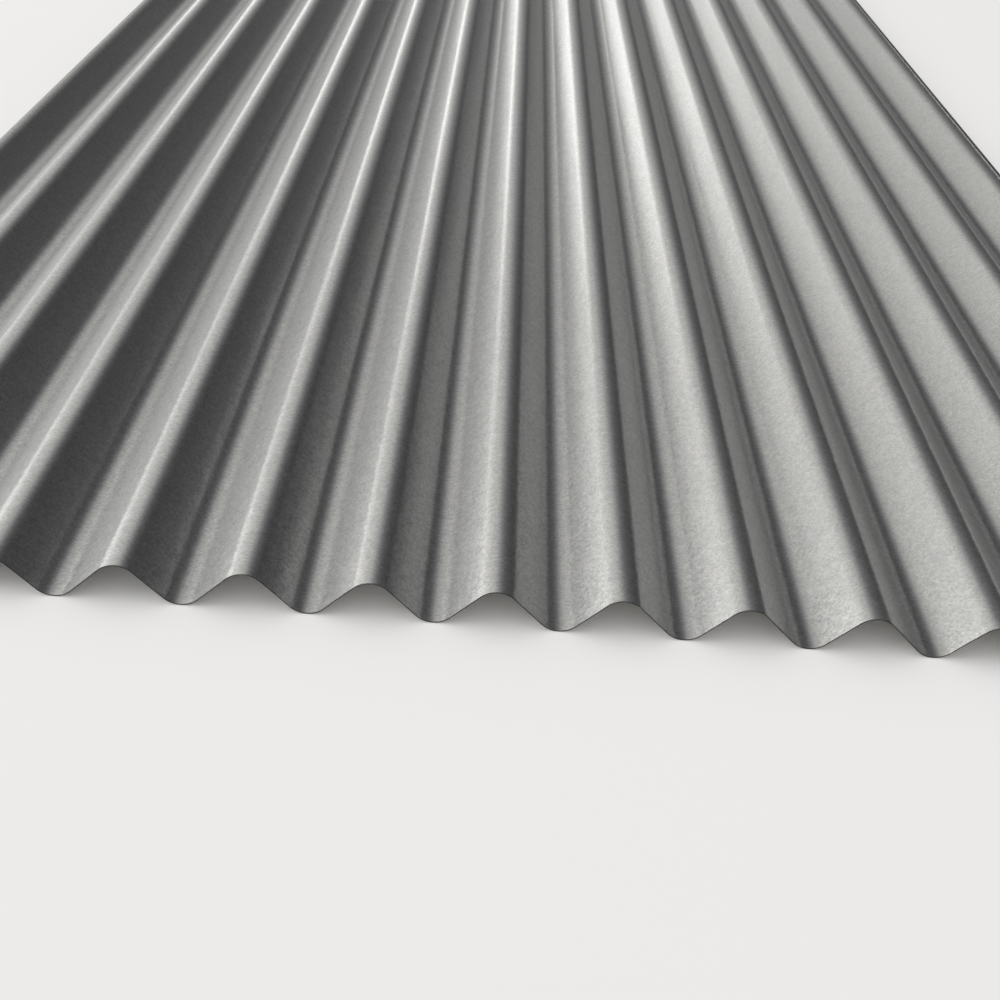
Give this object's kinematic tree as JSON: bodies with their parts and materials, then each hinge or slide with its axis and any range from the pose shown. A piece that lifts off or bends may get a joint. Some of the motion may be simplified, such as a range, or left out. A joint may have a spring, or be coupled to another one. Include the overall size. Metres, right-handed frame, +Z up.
{
  "type": "corrugated metal sheet",
  "caption": "Roll-formed corrugated steel sheet with round crests and valleys joined by straight flanks, one side edge up and the other down, cut square at both ends.",
  "frame": {"origin": "on the floor under the middle of the sheet, in the plane that its valleys rest on", "axes": "+X across the corrugations towards the edge that turns down, +Y along them towards the far cut end, +Z up"},
  "size_m": [0.982, 2.4384, 0.0228],
  "materials": {
    "coated_steel": "bare zinc and aluminium coating with a fine satin spangle, clean"
  },
  "bodies": {
    "root": {"corrugated_sheet": "coated_steel"}
  },
  "joints": []
}
